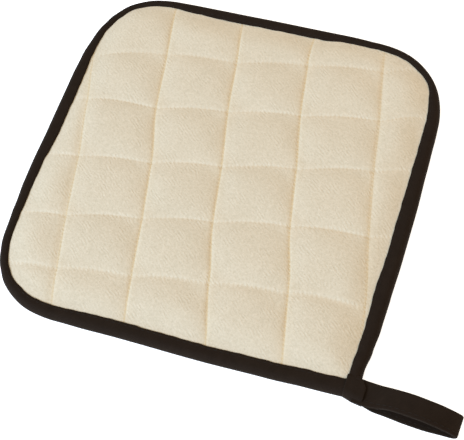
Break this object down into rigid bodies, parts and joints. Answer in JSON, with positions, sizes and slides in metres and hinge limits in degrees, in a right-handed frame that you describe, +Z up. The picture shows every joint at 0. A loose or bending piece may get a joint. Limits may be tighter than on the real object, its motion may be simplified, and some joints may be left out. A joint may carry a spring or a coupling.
{
  "type": "quilted pot holder with hanging loop",
  "caption": "Square quilted pot holder, cream cotton with a dark tape binding, three round corners and a hanging loop of the same tape at the sharp corner.",
  "frame": {"origin": "on the surface the pot holder lies on, under the middle of its whole outline, loop included; the middle of the pad is 23 mm to -X and 1 mm to +Y of it", "axes": "+X along the near edge towards the hanging loop, +Y away from the near edge, +Z up out of the pad's face"},
  "size_m": [0.2477, 0.2043, 0.0097],
  "materials": {
    "quilted_cotton": "matte brushed cotton, cream, quilted through with matching thread",
    "binding_tape": "matte woven cotton tape, near-black brown"
  },
  "bodies": {
    "root": {"quilted_pad": "quilted_cotton", "edge_binding": "binding_tape", "hanging_loop": "binding_tape"}
  },
  "joints": []
}
